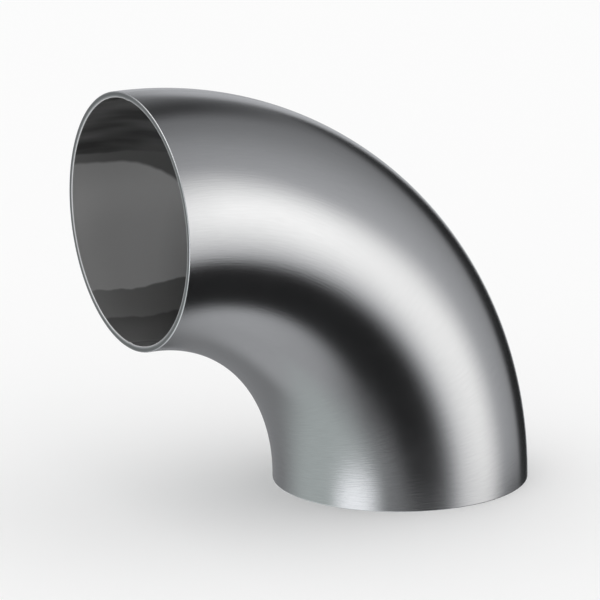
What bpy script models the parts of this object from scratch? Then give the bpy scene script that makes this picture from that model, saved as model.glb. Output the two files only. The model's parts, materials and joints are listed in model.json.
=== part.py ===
"""A ninety degree pipe elbow for butt welding, made from two pressed half shells.

The bend lies in the XZ plane and stands on its lower mouth, with +Z up. The inlet
mouth faces -X and the outlet mouth faces -Z. The shell is split in the plane Y = 0,
and a seam weld closes it along the outside of the bend (the heel) and another along
the inside of the bend (the throat). The origin is the bottom centre of the box that
holds the elbow. All sizes are in metres.
"""

from math import asin, cos, pi, sin

import bmesh
import bpy
from mathutils import Matrix, Vector

# Driving dimensions
OUTER_DIAMETER = 0.0761
WALL = 0.0018
BEND_RADIUS = 0.0885        # from the bend centre to the middle of the bore
BEND_ANGLE = pi / 2
INLET_STRAIGHT = 0.0012     # straight tube between the bend and the inlet mouth
OUTLET_STRAIGHT = 0.0011    # straight tube between the bend and the outlet mouth
WELD_FACE_WIDTH = 0.0036    # of the seam weld on the outside, ground flush
WELD_ROOT_WIDTH = 0.0026    # of the seam weld in the bore
WELD_ROOT_CROWN = 0.00015   # how far the weld's root stands into the bore
FIT_GAP = 0.0003            # between a weld and the shell edge that it meets

# Fineness of the solids
SHELL_COLUMNS = 24
WELD_COLUMNS = 4
BEND_STEPS = 30

OUTER_RADIUS = OUTER_DIAMETER / 2
BORE_RADIUS = OUTER_RADIUS - WALL
LENGTH = BEND_RADIUS + OUTER_RADIUS + INLET_STRAIGHT
BEND_CENTRE = Vector((INLET_STRAIGHT - LENGTH / 2, 0, OUTLET_STRAIGHT))

# Directions round the section, as angles from the heel towards -Y
HEEL = 0.0
THROAT = pi
NEAR_SIDE = 1
FAR_SIDE = -1


def clear_scene():
    """Remove every object, so that the script starts from nothing."""
    for thing in list(bpy.data.objects):
        bpy.data.objects.remove(thing, do_unlink=True)


def steel(name, colour, roughness):
    """Make one stainless steel finish."""
    material = bpy.data.materials.new(name)
    material.use_nodes = True
    shader = material.node_tree.nodes["Principled BSDF"]
    shader.inputs["Base Color"].default_value = (*colour, 1)
    shader.inputs["Metallic"].default_value = 1.0
    shader.inputs["Roughness"].default_value = roughness
    return material


def section_point(radius, angle):
    """Return a point of the bore's section where the bend starts, which faces -X."""
    up = Vector((0, 0, cos(angle)))
    across = Vector((0, -sin(angle), 0))
    middle = BEND_CENTRE + Vector((0, 0, BEND_RADIUS))
    return middle + radius * (up + across)


def half_angle(width, radius):
    """Return half the angle that a weld of this width takes up at this radius."""
    return asin(width / 2 / radius)


def shell_section(side):
    """List the outer and inner point of each column of a half shell's section."""
    gap = FIT_GAP / BORE_RADIUS
    outer_start = half_angle(WELD_FACE_WIDTH, OUTER_RADIUS) + gap
    inner_start = half_angle(WELD_ROOT_WIDTH, BORE_RADIUS) + gap
    columns = []
    for column in range(SHELL_COLUMNS + 1):
        share = column / SHELL_COLUMNS
        outer = outer_start + share * (pi - 2 * outer_start)
        inner = inner_start + share * (pi - 2 * inner_start)
        columns.append((section_point(OUTER_RADIUS, side * outer),
                        section_point(BORE_RADIUS, side * inner)))
    return columns


def weld_section(middle):
    """List the outer and inner point of each column of a seam weld's section."""
    face = half_angle(WELD_FACE_WIDTH, OUTER_RADIUS)
    root = half_angle(WELD_ROOT_WIDTH, BORE_RADIUS)
    columns = []
    for column in range(WELD_COLUMNS + 1):
        across = 2 * column / WELD_COLUMNS - 1
        root_radius = BORE_RADIUS - WELD_ROOT_CROWN * (1 - across ** 2)
        columns.append((section_point(OUTER_RADIUS, middle + across * face),
                        section_point(root_radius, middle + across * root)))
    return columns


def pushed_on(mesh, front, move):
    """Extrude the front of a sweep in a straight line and return the new front."""
    front = bmesh.ops.extrude_face_region(mesh, geom=front)["geom"]
    corners = [part for part in front if isinstance(part, bmesh.types.BMVert)]
    bmesh.ops.translate(mesh, verts=corners, vec=move)
    return front


def sweep(name, columns, material):
    """Carry a section from the inlet mouth, round the bend, to the outlet mouth."""
    mesh = bmesh.new()
    pairs = [(mesh.verts.new(outer), mesh.verts.new(inner)) for outer, inner in columns]
    for (outer, inner), (next_outer, next_inner) in zip(pairs, pairs[1:]):
        mesh.faces.new((outer, next_outer, next_inner, inner))
    inlet = Vector((-INLET_STRAIGHT, 0, 0))
    bmesh.ops.translate(mesh, verts=mesh.verts[:], vec=inlet)

    front = mesh.verts[:] + mesh.edges[:] + mesh.faces[:]
    front = pushed_on(mesh, front, -inlet)
    bend = bmesh.ops.spin(mesh, geom=front, cent=BEND_CENTRE, axis=(0, 1, 0),
                          angle=BEND_ANGLE, steps=BEND_STEPS)
    heading = Matrix.Rotation(BEND_ANGLE, 3, "Y") @ Vector((1, 0, 0))
    pushed_on(mesh, bend["geom_last"], OUTLET_STRAIGHT * heading)
    bmesh.ops.recalc_face_normals(mesh, faces=mesh.faces[:])

    data = bpy.data.meshes.new(name)
    mesh.to_mesh(data)
    mesh.free()
    data.shade_smooth()
    data.set_sharp_from_angle(angle=pi / 6)
    data.materials.append(material)
    piece = bpy.data.objects.new(name, data)
    bpy.context.collection.objects.link(piece)
    return piece


def build_elbow():
    """Build the two half shells and the two seam welds that join them."""
    satin = steel("satin_shell", (0.55, 0.56, 0.57), 0.32)
    far_satin = steel("satin_far_shell", (0.52, 0.53, 0.54), 0.32)
    heel_bead = steel("ground_heel_weld", (0.60, 0.60, 0.60), 0.38)
    throat_bead = steel("ground_throat_weld", (0.58, 0.58, 0.59), 0.38)
    sweep("near_half_shell", shell_section(NEAR_SIDE), satin)
    sweep("far_half_shell", shell_section(FAR_SIDE), far_satin)
    sweep("heel_seam_weld", weld_section(HEEL), heel_bead)
    sweep("throat_seam_weld", weld_section(THROAT), throat_bead)


clear_scene()
build_elbow()
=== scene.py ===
# %% [markdown]
# # A brushed stainless pipe elbow
#
# A butt-weld pipe elbow is a short, thin-walled quarter bend of stainless tube. This one
# is pressed as two half shells, which two seam welds close: one along the heel, the
# outside of the bend, and one along the throat, the inside. The outside is brushed, the
# bore has painted shade and reflection bands with lengthwise streaks and no brush lines,
# and the ends are turned square.
#
# The lesson makes four thin closed pieces with numpy, gives each its steel finish, and
# sets them in a small studio. The sizes come from the plain solid model of the elbow,
# whose four pieces these replace.

# %% Load the frame
import json
import math

import bpy
import numpy as np
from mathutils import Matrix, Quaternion, Vector


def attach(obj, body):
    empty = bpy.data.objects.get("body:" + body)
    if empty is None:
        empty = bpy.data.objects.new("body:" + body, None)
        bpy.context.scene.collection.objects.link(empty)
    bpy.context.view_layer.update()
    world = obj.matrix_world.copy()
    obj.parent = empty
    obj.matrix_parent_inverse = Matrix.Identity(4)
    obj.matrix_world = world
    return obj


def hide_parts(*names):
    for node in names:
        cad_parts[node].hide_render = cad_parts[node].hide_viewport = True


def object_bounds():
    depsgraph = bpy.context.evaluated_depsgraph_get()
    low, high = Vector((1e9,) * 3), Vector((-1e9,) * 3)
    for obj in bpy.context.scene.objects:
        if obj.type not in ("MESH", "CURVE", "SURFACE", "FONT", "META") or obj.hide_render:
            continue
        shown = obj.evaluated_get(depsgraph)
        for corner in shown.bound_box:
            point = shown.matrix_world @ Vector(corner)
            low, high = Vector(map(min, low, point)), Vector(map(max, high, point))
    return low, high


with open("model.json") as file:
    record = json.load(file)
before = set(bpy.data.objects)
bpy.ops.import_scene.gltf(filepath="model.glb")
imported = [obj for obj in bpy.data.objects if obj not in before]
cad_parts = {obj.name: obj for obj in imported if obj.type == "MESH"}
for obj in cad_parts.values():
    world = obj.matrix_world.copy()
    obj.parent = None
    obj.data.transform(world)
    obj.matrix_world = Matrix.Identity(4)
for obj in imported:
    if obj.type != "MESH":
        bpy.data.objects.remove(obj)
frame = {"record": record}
cad_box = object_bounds()
record = frame["record"]

# %% [markdown]
# ## The elbow's sizes
#
# Everything follows from a few lengths. The box of the plain model gives the outside
# diameter, because the tube is as wide as the model is deep. The two mounts lie in the
# middle of the wall on the end faces, so they give the wall and where each mouth is. Only
# the bend's own radius is stated here: what is left of each side is straight tube.

# %% Sizes from the model
low, high = cad_box
mounts = {mount["name"]: mount["pos_m"] for mount in record["mounts"]}
inlet, outlet = mounts["inlet_end"], mounts["outlet_end"]

OUTER_RADIUS = (high[1] - low[1]) / 2
WALL = 2 * (OUTER_RADIUS - abs(inlet[1]))
BEND_RADIUS = 0.0885
QUARTER = math.pi / 2

inlet_straight = outlet[0] - inlet[0] - BEND_RADIUS
outlet_straight = inlet[2] - outlet[2] - BEND_RADIUS
bend_centre = np.array([inlet[0] + inlet_straight, 0.0, outlet[2] + outlet_straight])
bend_length = BEND_RADIUS * QUARTER
tube_length = inlet_straight + bend_length + outlet_straight
print(f"outside {2000 * OUTER_RADIUS:.1f} mm, wall {1000 * WALL:.2f} mm, "
      f"straights {1000 * inlet_straight:.2f} and {1000 * outlet_straight:.2f} mm")

# %% [markdown]
# ## Coordinates that follow the tube
#
# A bent tube is easiest to describe from inside it. Three numbers give any point: how
# far it is along the centreline, how far it is from the centreline, and the angle round
# the section. The functions below turn those into places, for whole arrays at once, so
# no loop visits the points one by one.


# %% From tube coordinates to places
def turned(along):
    """Return the angle that the bend has turned through at this length.

    It is the length past the inlet straight over the bend radius, kept between zero and
    a quarter turn, so both straight ends are covered too.
    """
    return np.clip((along - inlet_straight) / BEND_RADIUS, 0, QUARTER)


def directions(along, angle):
    """Return the unit directions along the tube, away from its middle and round it.

    The heel's direction turns from +Z to +X with the bend. A point at an angle from the
    heel lies in the direction cos(angle) heel + sin(angle) near side, and the direction
    round the tube is that one turned on by a right angle.
    """
    turn = turned(along)
    none = np.zeros_like(turn)
    forward = np.stack([np.cos(turn), none, -np.sin(turn)], -1)
    heel = np.stack([np.sin(turn), none, np.cos(turn)], -1)
    near = np.array([0.0, -1.0, 0.0])
    cosine, sine = np.cos(angle)[..., None], np.sin(angle)[..., None]
    return forward, cosine * heel + sine * near, cosine * near - sine * heel


def places(along, radius, angle):
    """Return the points at these tube coordinates.

    The centreline is an arc round the bend centre with a short straight run at each end;
    a point is the centreline's place plus the radius times the outward direction.
    """
    forward, outward, _ = directions(along, angle)
    turn = turned(along)
    none = np.zeros_like(turn)
    arc = np.stack([np.sin(turn), none, np.cos(turn)], -1) * BEND_RADIUS
    straight = along - inlet_straight - BEND_RADIUS * turn
    return bend_centre + arc + straight[..., None] * forward + radius[..., None] * outward


middle = places(np.array(tube_length / 2), np.array(0.0), np.array(0.0))
print("middle of the centreline:", np.round(middle, 4))

# %% [markdown]
# ## A wall that is not quite perfect
#
# Pressed sheet is never a true torus. The press leaves long, shallow waves of one or two
# hundredths of a millimetre, too small to see in the outline but not in a reflection.
# A sum of a few sines in the two tube coordinates makes them. Each sine gets a whole
# number of waves round the tube, so that the pattern closes on itself.

# %% Pressing waves
WAVES = ((1.3, 2, 0.4), (2.1, 3, 2.2), (3.4, 1, 5.1), (4.3, 5, 1.3), (0.7, 4, 3.6))


def waves(along, angle, depth):
    """Return how far the surface sinks below its true radius, and its two slopes.

    Each wave is a cosine of (turns along the tube) times the length plus (waves round)
    times the angle plus a phase. Their mean is shifted to lie between zero and the
    depth. The slopes are its derivatives along the tube and with the angle.
    """
    sink = np.zeros(np.broadcast(along, angle).shape)
    slope_along, slope_round = sink.copy(), sink.copy()
    share = depth / (2 * len(WAVES))
    for turns, rounds, phase in WAVES:
        rate = 2 * math.pi * turns / tube_length
        argument = rate * along + rounds * angle + phase
        sink += share * (1 + np.cos(argument))
        slope_along -= share * rate * np.sin(argument)
        slope_round -= share * rounds * np.sin(argument)
    return sink, slope_along, slope_round


OUTSIDE_DEPTH = 0.00001     # the deepest that a wave gets, outside
BORE_DEPTH = 0.00002        # and in the bore
BORE_SHIFT = 1.0            # turns the bore's waves away from the outside's, in radians
print(f"waves up to {1e6 * OUTSIDE_DEPTH:.0f} microns outside and "
      f"{1e6 * BORE_DEPTH:.0f} in the bore")

# %% [markdown]
# ## The wall's outline, carried round the tube
#
# Cut the wall lengthwise and it is a long thin strip: the outside, a turned end face,
# the bore, and the other end face, with a small rounding on every corner. That closed
# outline is one parameter of the surface and the angle round the tube is the other. A
# Bevel modifier could break the corners too, but here the outline states them, so
# each corner keeps the same number of points and the normals can be exact.

# %% The outline of the wall
EDGE_BREAK = 0.00025        # radius of the rounded corners at the mouths
ALONG_STEPS = 150           # faces along the tube
CORNER_STEPS = 4            # faces round each corner
FACE_STEPS = 3              # faces across each end face
OUTSIDE, BORE, END_FACE, OUTER_EDGE, INNER_EDGE = range(5)


def wall_outline():
    """Return the closed outline: length, depth, the normal's two parts, and the surface.

    Depth goes from 0 on the outside to the wall's thickness in the bore. The outside
    runs from the inlet to the outlet, then come a corner arc, the end face, a corner arc
    and the bore back to the inlet, where a corner, the end face and a corner close it.
    The normal is given as its parts along and away from the tube. The last value says
    which of the five surfaces a point belongs to.
    """
    start, stop = EDGE_BREAK, tube_length - EDGE_BREAK
    run = np.linspace(start, stop, ALONG_STEPS + 1)
    swing = np.linspace(0, QUARTER, CORNER_STEPS + 1)[1:-1]
    across = np.linspace(EDGE_BREAK, WALL - EDGE_BREAK, FACE_STEPS + 1)
    level, one = np.zeros_like, np.ones_like
    outlet_side = [
        (run, level(run), level(run), one(run), OUTSIDE),
        (stop + EDGE_BREAK * np.sin(swing), EDGE_BREAK * (1 - np.cos(swing)),
         np.sin(swing), np.cos(swing), OUTER_EDGE),
        (one(across) * tube_length, across, one(across), level(across), END_FACE),
        (stop + EDGE_BREAK * np.cos(swing), WALL - EDGE_BREAK * (1 - np.sin(swing)),
         np.cos(swing), -np.sin(swing), INNER_EDGE),
    ]
    opposite = {OUTSIDE: BORE, END_FACE: END_FACE, OUTER_EDGE: INNER_EDGE,
                INNER_EDGE: OUTER_EDGE}
    inlet_side = [(tube_length - length, WALL - depth, -lean_along, -lean_out,
                   opposite[part])
                  for length, depth, lean_along, lean_out, part in outlet_side]
    runs = outlet_side + inlet_side
    columns = [np.concatenate([piece[i] for piece in runs]) for i in range(4)]
    parts = np.concatenate([np.full(len(piece[0]), piece[4]) for piece in runs])
    return (*columns, parts)


outline = wall_outline()
print("points in the outline:", len(outline[0]))

# %% [markdown]
# ## From a grid to a closed piece
#
# Each piece takes a stretch of the circle. Its grid has one row for every angle and one
# column for every point of the outline, which closes on itself. Two narrow caps close
# the long edges, where the shell meets the weld. The normals come from the formula and
# not from the facets, so the reflections run across the weld without a kink.

# %% Weld sizes and the piece builder
WELD_FACE_WIDTH = 0.0036    # the weld's width on the outside
WELD_ROOT_WIDTH = 0.0026    # its width in the bore
WELD_ROOT_CROWN = 0.00015   # how far its root stands into the bore


def edge_angle(depth):
    """Return the angle from the heel at which the shell meets its weld, by depth.

    The weld is wider on its face than at its root, so half its width goes evenly from
    one to the other, and the angle is the arc sine of that over the radius.
    """
    share = depth / WALL
    half_width = (WELD_FACE_WIDTH * (1 - share) + WELD_ROOT_WIDTH * share) / 2
    return np.arcsin(half_width / (OUTER_RADIUS - depth))


def wall_surface(first, last, rows, crown=0.0):
    """Return the points, normals, directions round and tube places of one grid.

    The angles go evenly from the first edge to the last, which are functions of depth.
    The radius is the outside radius less the depth, plus or less the pressing waves. A
    crown lifts the bore's surface by crown times one minus the square of the distance
    from the middle of the piece, counted in half widths.
    """
    length, depth, lean_along, lean_out, _ = outline
    share = np.linspace(0, 1, rows + 1)[:, None]
    begin, end = first(depth), last(depth)
    angle = begin + share * (end - begin)
    along = np.broadcast_to(length, angle.shape)

    outer_sink, outer_along, outer_round = waves(along, angle, OUTSIDE_DEPTH)
    bore_sink, bore_along, bore_round = waves(along, angle + BORE_SHIFT, BORE_DEPTH)
    across = 2 * share - 1
    bore_sink = bore_sink - crown * (1 - across ** 2)
    bore_round = bore_round + 4 * crown * across / (end - begin)
    bore_share = depth / WALL
    radius = (OUTER_RADIUS - depth - (1 - bore_share) * outer_sink
              + bore_share * bore_sink)

    forward, outward, around = directions(along, angle)
    on_skin = lean_out ** 2
    slope_along = on_skin * np.where(bore_share > 0.5, bore_along, outer_along)
    slope_round = on_skin * np.where(bore_share > 0.5, bore_round, outer_round)
    bending = (turned(along) > 0) & (turned(along) < QUARTER)
    stretch = 1 + bending * radius * np.cos(angle) / BEND_RADIUS
    normals = (lean_out[:, None] * outward
               + (lean_along + slope_along / stretch)[..., None] * forward
               + (slope_round / radius)[..., None] * around)
    normals /= np.linalg.norm(normals, axis=-1, keepdims=True)
    depth_here = np.broadcast_to(depth, angle.shape)
    tube_place = np.stack([along, angle * OUTER_RADIUS, depth_here], -1)
    return places(along, radius, angle), normals, around, tube_place


def make_piece(name, first, last, rows, materials, crown=0.0):
    """Make one closed piece of the wall as a mesh object at the origin.

    Quads join each grid point to the next along the outline and the next angle. A cap
    joins each outside point of a long edge to the bore point opposite.
    """
    points, normals, around, tube_place = wall_surface(first, last, rows, crown)
    count = points.shape[1]
    row, column = np.meshgrid(np.arange(rows), np.arange(count), indexing="ij")
    onward = (column + 1) % count
    grid = np.stack([row * count + column, (row + 1) * count + column,
                     (row + 1) * count + onward, row * count + onward], -1)
    half = count // 2
    near = np.arange(half - 1) - (CORNER_STEPS - 1) - (FACE_STEPS + 1) // 2
    far = ALONG_STEPS + half - near
    cap = np.stack([near, near + 1, far - 1, far], -1) % count
    caps = [cap, cap[:, ::-1] + rows * count]
    faces = np.concatenate([grid.reshape(-1, 4), *caps])

    mesh = bpy.data.meshes.new(name)
    mesh.vertices.add(points.size // 3)
    mesh.vertices.foreach_set("co", points.ravel())
    mesh.loops.add(faces.size)
    mesh.loops.foreach_set("vertex_index", faces.ravel())
    mesh.polygons.add(len(faces))
    mesh.polygons.foreach_set("loop_start", np.arange(0, faces.size, 4))
    parts = np.maximum(outline[4][column], outline[4][onward]).ravel()
    slots = np.concatenate([parts, np.full(2 * len(cap), END_FACE)])
    mesh.polygons.foreach_set("material_index", slots)
    layer = mesh.uv_layers.new(name="along_and_round")
    layer.uv.foreach_set("vector", tube_place.reshape(-1, 3)[faces.ravel(), :2].ravel())
    kept = mesh.attributes.new("tube_place", "FLOAT_VECTOR", "POINT")
    kept.data.foreach_set("vector", tube_place.ravel())
    for material in materials:
        mesh.materials.append(material)
    mesh.update(calc_edges=True)
    mesh.validate()

    corner_normals = normals.reshape(-1, 3)[faces.ravel()]
    side = around.reshape(-1, 3)[faces.ravel()]
    first_cap = slice(grid.size, grid.size + cap.size)
    last_cap = slice(grid.size + cap.size, None)
    corner_normals[first_cap] = -side[first_cap]
    corner_normals[last_cap] = side[last_cap]
    mesh.normals_split_custom_set(corner_normals)
    piece = bpy.data.objects.new(name, mesh)
    bpy.context.collection.objects.link(piece)
    print(f"{name}: {len(faces)} faces")
    return piece


# %% [markdown]
# ## Small tools for shader nodes
#
# A procedural finish is a chain of nodes. These two helpers keep the chains short
# enough to read: one adds a node and fills its sockets, from values or from other
# nodes' outputs, and one opens a new node group with named inputs and outputs.


# %% Node helpers
def add(tree, kind, sockets=None, **settings):
    """Add a node, apply its settings, and fill its sockets by name or number."""
    node = tree.nodes.new(kind)
    for setting, value in settings.items():
        setattr(node, setting, value)
    for socket, value in (sockets or {}).items():
        if isinstance(value, bpy.types.NodeSocket):
            tree.links.new(value, node.inputs[socket])
        else:
            node.inputs[socket].default_value = value
    return node


def new_group(name, inputs, outputs):
    """Open a node group with float inputs, given as name and value, and its outputs."""
    tree = bpy.data.node_groups.new(name, "ShaderNodeTree")
    for label, value in inputs.items():
        socket = tree.interface.new_socket(label, in_out="INPUT",
                                           socket_type="NodeSocketFloat")
        socket.default_value = value
    for label in outputs:
        tree.interface.new_socket(label, in_out="OUTPUT", socket_type="NodeSocketFloat")
    return tree, tree.nodes.new("NodeGroupInput"), tree.nodes.new("NodeGroupOutput")


def grouped(tree, group, values=None):
    """Place a node group in a material and set its inputs."""
    return add(tree, "ShaderNodeGroup", values, node_tree=group)


def stretched_noise(tree, place, rates, **sockets):
    """Return noise on tube coordinates with its own rate along, round and in depth."""
    squeezed = add(tree, "ShaderNodeVectorMath", {0: place, 1: rates},
                   operation="MULTIPLY")
    settings = {"Vector": squeezed.outputs[0], "Scale": 1.0, **sockets}
    return add(tree, "ShaderNodeTexNoise", settings).outputs["Fac"]


# %% [markdown]
# ## Brushing, as one group for every finish that has it
#
# The last polish leaves hair lines about four tenths of a millimetre apart and six long.
# Near the inlet they run along the tube, and over the rest of the bend they run round it.
# So the noise is squeezed across the lines and drawn out along them, once each way, and
# the length along the tube mixes the two. The lines are deepest on the throat's side
# near the outlet, and faint everywhere else.

# %% The brushing group
TURN_ROUND = (0.045, 0.075)      # where along the tube the lines turn to run round it
NEAR_OUTLET = (0.065, 0.125)     # where along the tube they deepen
NEAR_THROAT = (0.063, 0.083)     # how far round from the heel they deepen
FAINT, DEEP = 0.4, 0.95          # their strength before and after both


def brushing_group():
    """Build a group that gives the height of the hair lines and a slow, cloudy shade.

    The height is noise about one half. Its distance from one half is multiplied by a
    strength, which grows smoothly along the tube and from the side to the throat.
    """
    tree, given, result = new_group(
        "brushing", {"Lines per metre": 2400.0, "Drawn out": 0.07}, ("Lines", "Clouds"))
    place = add(tree, "ShaderNodeAttribute", attribute_name="tube_place").outputs["Vector"]
    across = given.outputs["Lines per metre"]
    slow = add(tree, "ShaderNodeMath", {0: across, 1: given.outputs["Drawn out"]},
               operation="MULTIPLY").outputs[0]
    lengthwise = add(tree, "ShaderNodeCombineXYZ", {"X": slow, "Y": across}).outputs[0]
    roundwise = add(tree, "ShaderNodeCombineXYZ", {"X": across, "Y": slow}).outputs[0]
    parts = add(tree, "ShaderNodeSeparateXYZ", {0: place}).outputs
    share = add(tree, "ShaderNodeMapRange",
                {"Value": parts["X"], "From Min": TURN_ROUND[0],
                 "From Max": TURN_ROUND[1], "To Min": 0.0, "To Max": 1.0},
                interpolation_type="SMOOTHSTEP").outputs[0]
    lines = add(tree, "ShaderNodeMix",
                {"Factor": share,
                 "A": stretched_noise(tree, place, lengthwise, Detail=3.0, Roughness=0.6),
                 "B": stretched_noise(tree, place, roundwise, Detail=3.0, Roughness=0.6)},
                data_type="FLOAT").outputs["Result"]
    outlet_strength = add(tree, "ShaderNodeMapRange",
                          {"Value": parts["X"], "From Min": NEAR_OUTLET[0],
                           "From Max": NEAR_OUTLET[1], "To Min": FAINT, "To Max": DEEP},
                          interpolation_type="SMOOTHSTEP").outputs[0]
    from_heel = add(tree, "ShaderNodeMath", {0: parts["Y"]}, operation="ABSOLUTE")
    strength = add(tree, "ShaderNodeMapRange",
                   {"Value": from_heel.outputs[0], "From Min": NEAR_THROAT[0],
                    "From Max": NEAR_THROAT[1], "To Min": FAINT,
                    "To Max": outlet_strength},
                   interpolation_type="SMOOTHSTEP").outputs[0]
    centred = add(tree, "ShaderNodeMath", {0: lines, 1: 0.5},
                  operation="SUBTRACT").outputs[0]
    deepened = add(tree, "ShaderNodeMath", {0: centred, 1: strength, 2: 0.5},
                   operation="MULTIPLY_ADD").outputs[0]
    clouds = stretched_noise(tree, place, (60, 60, 60), Detail=4.0, Roughness=0.6)
    tree.links.new(deepened, result.inputs["Lines"])
    tree.links.new(clouds, result.inputs["Clouds"])
    return tree


brushing = brushing_group()
print("group:", brushing.name)

# %% [markdown]
# ## Painted shade, as a group for the bore
#
# The bore's tones are painted shade and painted reflection: a dark, streaked band along
# the heel, a paler side, and two darker steps towards the throat. Each edge between two
# tones is a narrow step in the angle from the heel. From the inlet inwards the side is
# painted paler and the whole bore a little more matt.

# %% The painted bore shade group
# Each painted shade edge: angle and half width in degrees, the stretch of the tube over
# which it moves, by how many degrees, and the tone beyond it. A side of -1 has that tone
# towards the heel.
MARK_EDGES = (
    (137, 0.6, 0.015, 0.070, 24, 1, 0.36),
    (154.5, 0.8, 0.015, 0.070, 24, 1, 0.20),
    (75, 1.0, 0.018, 0.045, -9, -1, 0.27),
    (70, 0.7, 0.006, 0.045, 5, -1, "streaked"),
)
# The paler side, the side's deep tone and the heel's streaks are painted shade and painted
# reflection.
PALER = (0.0, 0.032)        # where along the tube the side grows paler
DULLER = (0.012, 0.036)     # where along the tube the bore grows more matt
DEEP_TONE, DEEP_METAL = 0.92, 0.42    # the side's tone and the bore's metal after that
STREAK_TONES = (0.09, 0.22)           # the darkest and palest streaks along the heel
WAVER = 4.0                           # the most that an edge wavers, side to side


def die_marks_group():
    """Build a group that gives the bore's painted shade and reflection tone, and how
    metallic it is.

    The angle from the heel is the arc length over the outside radius, in degrees, with
    a slow noise that makes each edge waver. The edges turn a few degrees as the bend
    goes on. Long, narrow noise makes the painted streaks of the heel's dark band.
    """
    tree, given, result = new_group(
        "die_marks", {"Pale tone": 0.60, "Metal": 0.6}, ("Tone", "Metallic"))
    place = add(tree, "ShaderNodeAttribute", attribute_name="tube_place").outputs["Vector"]
    parts = add(tree, "ShaderNodeSeparateXYZ", {0: place}).outputs
    arc = add(tree, "ShaderNodeMath", {0: parts["Y"]}, operation="ABSOLUTE").outputs[0]
    waver = stretched_noise(tree, place, (90, 20, 0), Detail=2.0)
    wavering = add(tree, "ShaderNodeMath", {0: waver, 1: WAVER, 2: -WAVER / 2},
                   operation="MULTIPLY_ADD").outputs[0]
    angle = add(tree, "ShaderNodeMath",
                {0: arc, 1: math.degrees(1 / OUTER_RADIUS), 2: wavering},
                operation="MULTIPLY_ADD").outputs[0]
    streaks = stretched_noise(tree, place, (38, 170, 0), Detail=2.0, Roughness=0.5)
    # the heel's dark band is painted shade, streaked by long noise
    heel_tone = add(tree, "ShaderNodeMapRange",
                    {"Value": streaks, "From Min": 0.35, "From Max": 0.65,
                     "To Min": STREAK_TONES[0], "To Max": STREAK_TONES[1]}).outputs[0]
    tone = add(tree, "ShaderNodeMapRange",
               {"Value": parts["X"], "From Min": PALER[0], "From Max": PALER[1],
                "To Min": given.outputs["Pale tone"], "To Max": DEEP_TONE}).outputs[0]
    # each edge mixes in a painted shade tone beyond it
    for edge, width, start, stop, bend, side, darker in MARK_EDGES:
        moved = add(tree, "ShaderNodeMapRange",
                    {"Value": parts["X"], "From Min": start, "From Max": stop,
                     "To Min": 0.0, "To Max": bend},
                    interpolation_type="SMOOTHSTEP").outputs[0]
        measure = add(tree, "ShaderNodeMath", {0: angle, 1: moved},
                      operation="ADD").outputs[0]
        mask = add(tree, "ShaderNodeMapRange",
                   {"Value": measure, "From Min": edge - width, "From Max": edge + width,
                    "To Min": float(side < 0), "To Max": float(side > 0)},
                   interpolation_type="SMOOTHSTEP").outputs[0]
        beyond = heel_tone if darker == "streaked" else darker
        tone = add(tree, "ShaderNodeMix", {"Factor": mask, "A": tone, "B": beyond},
                   data_type="FLOAT").outputs["Result"]
    metallic = add(tree, "ShaderNodeMapRange",
                   {"Value": parts["X"], "From Min": DULLER[0], "From Max": DULLER[1],
                    "To Min": given.outputs["Metal"], "To Max": DEEP_METAL}).outputs[0]
    tree.links.new(tone, result.inputs["Tone"])
    tree.links.new(metallic, result.inputs["Metallic"])
    return tree


die_marks = die_marks_group()
print("group:", die_marks.name)

# %% [markdown]
# ## The steel finishes
#
# All of it is one stainless steel. What differs is how the surface was left, and where
# light is painted on. The brushed outside spreads light across its hair lines, which is
# what anisotropy with a tangent does, and the lines also show as a slight change of tone.
# The bore and the filed inner corner are a little matt, so they are not fully metallic.
# The bore's tones are painted shade and painted reflection, and the filed corner's pale
# tone is a painted highlight. The corners that the polishing belt has rolled over are the
# brightest, and the turned end faces are dull, with a painted highlight towards the bore.


# %% Steel
STEEL = (0.55, 0.55, 0.55, 1)
CLOUDINESS = 0.015          # how far the roughness strays from its mean
LINE_TONE = 0.05            # how far a hair line's tone strays from the steel's


def steel(name, roughness, **sockets):
    """Start a metallic material; return it, its tree and its shader."""
    material = bpy.data.materials.new(name)
    material.use_nodes = True
    tree = material.node_tree
    shader = tree.nodes["Principled BSDF"]
    shader.inputs["Base Color"].default_value = STEEL
    shader.inputs["Metallic"].default_value = 1.0
    shader.inputs["Roughness"].default_value = roughness
    for socket, value in sockets.items():
        shader.inputs[socket].default_value = value
    return material, tree, shader


def brushed_steel(name, roughness, anisotropic, line_height):
    """Make the outside's finish: hair lines as bump and tone, and a cloudy roughness."""
    material, tree, shader = steel(name, roughness, Anisotropic=anisotropic)
    brushed = grouped(tree, brushing)
    spread = add(tree, "ShaderNodeMapRange",
                 {"Value": brushed.outputs["Clouds"], "From Min": 0.3, "From Max": 0.7,
                  "To Min": roughness - CLOUDINESS, "To Max": roughness + CLOUDINESS})
    tree.links.new(spread.outputs[0], shader.inputs["Roughness"])
    shine = add(tree, "ShaderNodeMapRange",
                {"Value": brushed.outputs["Lines"], "From Min": 0.3, "From Max": 0.7,
                 "To Min": (1 - LINE_TONE) * STEEL[0],
                 "To Max": (1 + LINE_TONE) * STEEL[0]})
    tree.links.new(shine.outputs[0], shader.inputs["Base Color"])
    bump = add(tree, "ShaderNodeBump", {"Height": brushed.outputs["Lines"],
                                        "Strength": 1.0, "Distance": line_height})
    tree.links.new(bump.outputs[0], shader.inputs["Normal"])
    tangent = add(tree, "ShaderNodeTangent", direction_type="UV_MAP",
                  uv_map="along_and_round")
    tree.links.new(tangent.outputs[0], shader.inputs["Tangent"])
    return material


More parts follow.
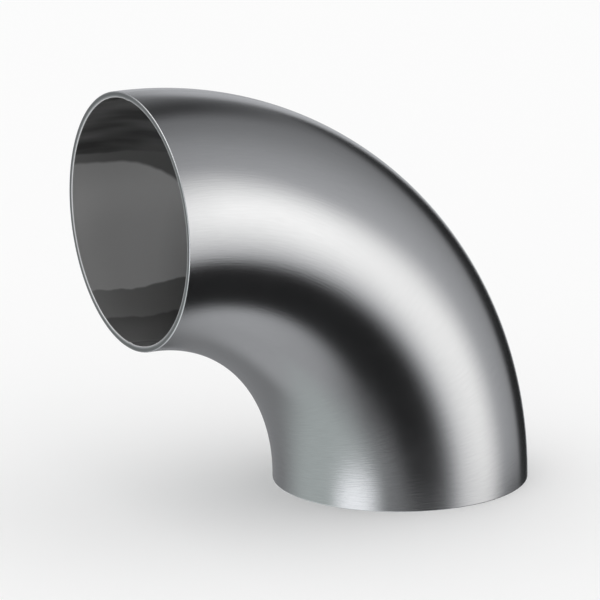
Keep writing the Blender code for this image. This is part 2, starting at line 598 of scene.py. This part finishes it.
def bore_steel(name, roughness):
    """Make the bore's finish: the sheet's own face, with painted shade and painted
    reflection bands on it.
    """
    material, tree, shader = steel(name, roughness)
    marks = grouped(tree, die_marks)
    # the bore's tone is painted shade and painted reflection
    tree.links.new(marks.outputs["Tone"], shader.inputs["Base Color"])
    tree.links.new(marks.outputs["Metallic"], shader.inputs["Metallic"])
    return material


def plain_steel(name, roughness, metallic, tone):
    """Make a narrow edge's finish, too small to show any texture; the filed inner edge's
    pale tone is a painted highlight.
    """
    material, _, shader = steel(name, roughness, Metallic=metallic)
    shader.inputs["Base Color"].default_value = (tone, tone, tone, 1)
    return material


def turned_steel(name, roughness):
    """Make the end faces' finish: dull towards the outside, brighter towards the bore.

    The tone is a smooth step in the depth through the wall, a painted highlight along the
    inner edge. Fine rings left by the cutter are a bump.
    """
    material, tree, shader = steel(name, roughness)
    place = add(tree, "ShaderNodeAttribute", attribute_name="tube_place").outputs["Vector"]
    depth = add(tree, "ShaderNodeSeparateXYZ", {0: place}).outputs["Z"]
    # the step to a brighter tone towards the bore is a painted highlight along the inner
    # edge
    tone = add(tree, "ShaderNodeMapRange",
               {"Value": depth, "From Min": 0.55 * WALL, "From Max": 0.75 * WALL,
                "To Min": 0.34, "To Max": 0.62}, interpolation_type="SMOOTHSTEP")
    tree.links.new(tone.outputs[0], shader.inputs["Base Color"])
    rings = stretched_noise(tree, place, (5000, 40, 5000), Detail=3.0, Roughness=0.6)
    bump = add(tree, "ShaderNodeBump", {"Height": rings, "Strength": 1.0,
                                        "Distance": 0.00001})
    tree.links.new(bump.outputs[0], shader.inputs["Normal"])
    return material


shell_outside = brushed_steel("brushed_shell", 0.21, 0.45, 0.00003)
seam_outside = brushed_steel("ground_seam", 0.25, 0.45, 0.00003)
bore = bore_steel("bore_with_painted_shade", 0.30)
belt_edge = plain_steel("belt_edge", 0.2, 1.0, 1.0)
# the filed inner edge is real, but its pale, half-metallic tone, lit by the even dome, is
# a painted highlight all round
filed_edge = plain_steel("filed_edge", 0.30, 0.5, 0.80)
end_face = turned_steel("turned_end_painted_highlight", 0.35)

# %% [markdown]
# ## The four pieces
#
# The shells and the welds share one builder and differ only in the angles between which
# they lie. Each replaces the plain solid that it stands for.

# %% Shells and seam welds
SHELL_ROWS = 120            # faces round each half shell
WELD_ROWS = 10              # faces across each weld


def heel_edge(depth):
    """Return the angle of the near edge of the heel weld."""
    return edge_angle(depth)


def throat_edge(depth):
    """Return the angle of the near edge of the throat weld."""
    return math.pi - edge_angle(depth)


shell_finish = (shell_outside, bore, end_face, belt_edge, filed_edge)
weld_finish = (seam_outside, bore, end_face, belt_edge, filed_edge)
pieces = {
    "near_half_shell": make_piece("near_shell", heel_edge, throat_edge, SHELL_ROWS,
                                  shell_finish),
    "far_half_shell": make_piece("far_shell", lambda depth: -throat_edge(depth),
                                 lambda depth: -heel_edge(depth), SHELL_ROWS,
                                 shell_finish),
    "heel_seam_weld": make_piece("heel_weld", lambda depth: -heel_edge(depth),
                                 heel_edge, WELD_ROWS, weld_finish, WELD_ROOT_CROWN),
    "throat_seam_weld": make_piece("throat_weld", throat_edge,
                                   lambda depth: 2 * math.pi - throat_edge(depth),
                                   WELD_ROWS, weld_finish, WELD_ROOT_CROWN),
}
for node, piece in pieces.items():
    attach(piece, "root")
    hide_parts(node)

# %% [markdown]
# ## The studio
#
# Steel has no colour of its own to speak of: what is seen is the room. Soft light from
# one side gives the broad white band, and a dark area in front gives the black one
# under it. The room is a dome of soft-edged panels, each with a heading, a height, a
# size, a brightness and a slight tint. Only glossy rays see it. Matt things such as the
# floor see an even, pale dome instead. Two domes in one world is why the world isn't
# sampled as a light: that sampling knows only the dome that matt things see.

# %% The dome of panels
# Heading is counted from the near side towards the outlet's side, in degrees.
PANELS = (
    # name, heading, height, half width, half height, softness, brightness, tint
    ("halo", 50, -8, 48, 68, 0.7, 0.62, "cool"),
    ("key", 36, 11, 14, 21, 1.0, 1.85, "white"),
    ("low_key", 53, -6, 15, 16, 1.0, 1.5, "white"),
    ("left_halo", -100, -30, 46, 48, 0.5, 0.61, "green"),
    ("left_light", -70, -18, 19, 11.5, 0.6, 1.6, "cool"),
    ("high_left_light", -108, 38, 38, 16, 0.6, 1.7, "white"),
    ("front_dark", 45, -44, 80, 19, 0.3, 0.02, "cool"),
    ("front_left_dark", -2, -27, 24, 15, 0.5, 0.015, "cool"),
    ("side_dark", 132, -14, 24, 31, 0.15, 0.02, "cool"),
    ("high_dark", 137, 47, 12, 24, 0.9, 0.05, "cool"),
    ("backdrop", 147, -5, 10, 28, 0.2, 0.6, "cool"),
    ("low_side_dark", 105, -25, 48, 9, 0.1, 0.05, "cool"),
)
TINTS = {"white": (1.0, 1.0, 1.0), "cool": (0.97, 0.99, 1.03), "green": (0.91, 1.0, 1.0)}
ABOVE, BELOW = 0.27, 0.5    # brightness between the panels, and straight down
BELOW_FROM, BELOW_TO = -54.0, -72.0   # the heights between which one turns into the other
MATT_DOME = 1.0             # brightness of the even dome


def shade(brightness, tint):
    """Return the colour of a light of this brightness and tint."""
    return (*(brightness * part for part in TINTS[tint]), 1.0)


def degrees(tree, operation, first, second=None):
    """Return an angle worked out by a Math node, in degrees."""
    values = {0: first} if second is None else {0: first, 1: second}
    angle = add(tree, "ShaderNodeMath", values, operation=operation).outputs[0]
    return add(tree, "ShaderNodeMath", {0: angle}, operation="DEGREES").outputs[0]


def blended(tree, factor, first, second):
    """Return the first colour turning into the second as the factor goes to one."""
    return add(tree, "ShaderNodeMix", {"Factor": factor, 6: first, 7: second},
               data_type="RGBA").outputs[2]


def studio_dome():
    """Light the scene with the panels, mixed over each other in their order.

    A panel's mask falls smoothly from one to zero as the distance from its middle,
    counted in its own half width and half height, passes one.
    """
    world = bpy.data.worlds.new("studio_dome")
    bpy.context.scene.world = world
    world.cycles.sampling_method = "NONE"
    world.use_nodes = True
    tree = world.node_tree
    tree.nodes.clear()
    towards = add(tree, "ShaderNodeTexCoord").outputs["Generated"]
    parts = add(tree, "ShaderNodeSeparateXYZ", {0: towards}).outputs
    backwards = add(tree, "ShaderNodeMath", {0: parts["Y"], 1: -1.0},
                    operation="MULTIPLY").outputs[0]
    heading = degrees(tree, "ARCTAN2", parts["X"], backwards)
    height = degrees(tree, "ARCSINE", parts["Z"])
    aim = add(tree, "ShaderNodeCombineXYZ", {"X": heading, "Y": height}).outputs[0]
    lowness = add(tree, "ShaderNodeMapRange",
                  {"Value": height, "From Min": BELOW_FROM, "From Max": BELOW_TO,
                   "To Min": 0.0, "To Max": 1.0},
                  interpolation_type="SMOOTHSTEP").outputs[0]
    light = blended(tree, lowness, shade(ABOVE, "cool"), shade(BELOW, "cool"))
    for _, turn, rise, half_width, half_height, softness, brightness, tint in PANELS:
        offset = add(tree, "ShaderNodeVectorMath", {0: aim, 1: (turn, rise, 0)},
                     operation="SUBTRACT").outputs[0]
        scaled = add(tree, "ShaderNodeVectorMath",
                     {0: offset, 1: (1 / half_width, 1 / half_height, 0)},
                     operation="MULTIPLY").outputs[0]
        distance = add(tree, "ShaderNodeVectorMath", {0: scaled},
                       operation="LENGTH").outputs["Value"]
        mask = add(tree, "ShaderNodeMapRange",
                   {"Value": distance, "From Min": 1 - softness,
                    "From Max": 1 + softness, "To Min": 1.0, "To Max": 0.0},
                   interpolation_type="SMOOTHSTEP").outputs[0]
        light = blended(tree, mask, light, shade(brightness, tint))
    path = add(tree, "ShaderNodeLightPath")
    seen = blended(tree, path.outputs["Is Glossy Ray"], shade(MATT_DOME, "white"), light)
    background = add(tree, "ShaderNodeBackground", {"Color": seen, "Strength": 1.0})
    surface = add(tree, "ShaderNodeOutputWorld")
    tree.links.new(background.outputs[0], surface.inputs["Surface"])


studio_dome()
print("panels:", len(PANELS))

# %% [markdown]
# ## The floor and the camera
#
# The elbow stands on its outlet mouth on a pale, matt floor. The camera looks slightly
# down at it from the inlet's side, from far away through a long lens, so that the tube
# keeps its true proportions.


# %% Floor and camera
FLOOR_HALF = 4.0
FLOOR_TONE = 0.97
CAMERA_AZIMUTH = math.radians(-28.5)
CAMERA_ELEVATION = math.radians(15.3)
CAMERA_ROLL = math.radians(-0.4)
CAMERA_DISTANCE = 26.6 * 2 * OUTER_RADIUS
LENS = 413.4                # focal length in millimetres, on a sensor 36 mm wide
TARGET = Vector((-0.0077, 0, 0.0586))
BORE_BOUNCES = 12           # light reaches the bore's depth by many reflections


def pale_floor():
    """Lay a large, even, matt floor, which the steel doesn't reflect."""
    mesh = bpy.data.meshes.new("floor")
    corners = [(x, y, 0) for x, y in ((-1, -1), (1, -1), (1, 1), (-1, 1))]
    mesh.from_pydata(np.array(corners) * FLOOR_HALF, [], [(0, 1, 2, 3)])
    floor = bpy.data.objects.new("floor", mesh)
    bpy.context.collection.objects.link(floor)
    material = bpy.data.materials.new("pale_floor")
    material.use_nodes = True
    shader = material.node_tree.nodes["Principled BSDF"]
    shader.inputs["Base Color"].default_value = (FLOOR_TONE, FLOOR_TONE, FLOOR_TONE, 1)
    shader.inputs["Roughness"].default_value = 1.0
    shader.inputs["Specular IOR Level"].default_value = 0.0
    mesh.materials.append(material)
    floor.visible_glossy = False


def aim_camera():
    """Place the camera on its line of sight and turn it to look back along it."""
    turn, rise = CAMERA_AZIMUTH, CAMERA_ELEVATION
    back = Vector((math.sin(turn) * math.cos(rise), -math.cos(turn) * math.cos(rise),
                   math.sin(rise)))
    data = bpy.data.cameras.new("camera")
    data.lens = LENS
    data.sensor_width = 36
    camera = bpy.data.objects.new("camera", data)
    bpy.context.collection.objects.link(camera)
    camera.location = TARGET + CAMERA_DISTANCE * back
    camera.rotation_mode = "QUATERNION"
    camera.rotation_quaternion = (back.to_track_quat("Z", "Y")
                                  @ Quaternion((0, 0, 1), CAMERA_ROLL))
    bpy.context.scene.camera = camera


pale_floor()
aim_camera()
bpy.context.scene.view_settings.view_transform = "Standard"
bpy.context.scene.cycles.glossy_bounces = BORE_BOUNCES
